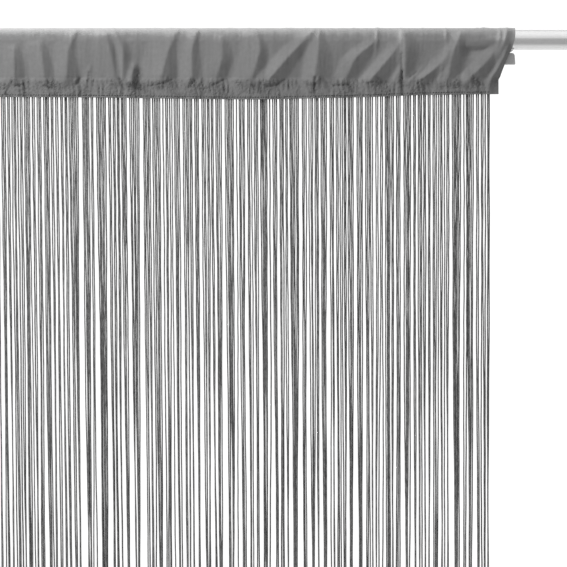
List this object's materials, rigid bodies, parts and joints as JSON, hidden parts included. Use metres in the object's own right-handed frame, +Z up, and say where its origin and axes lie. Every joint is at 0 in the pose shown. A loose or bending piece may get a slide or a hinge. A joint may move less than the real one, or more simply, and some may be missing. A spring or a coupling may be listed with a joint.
{
  "type": "string curtain on a rod",
  "caption": "Grey string curtain: a gathered rod-pocket heading with a fringe of long hanging strings, on a round metal rod between two wall brackets.",
  "frame": {"origin": "centre of the right wall plate's back face, on the wall, level with the rod's axis", "axes": "+X along the rod to the right as seen from the front, +Y into the wall, +Z up; the front faces -Y"},
  "size_m": [1.1, 0.0774, 2.0001],
  "materials": {
    "heading_cloth": "plain woven polyester, soft sheen",
    "string_yarn": "twisted yarn, slightly fuzzy",
    "rod_metal": "bright satin tube",
    "bracket_metal": "satin grey"
  },
  "bodies": {
    "root": {"heading": "heading_cloth", "strings": "string_yarn", "rod": "rod_metal", "bracket_arm_left": "bracket_metal", "bracket_arm_right": "bracket_metal", "clamp_screw_left": "bracket_metal", "clamp_screw_right": "bracket_metal", "wall_plate_left": "bracket_metal", "wall_plate_right": "bracket_metal"}
  },
  "joints": []
}
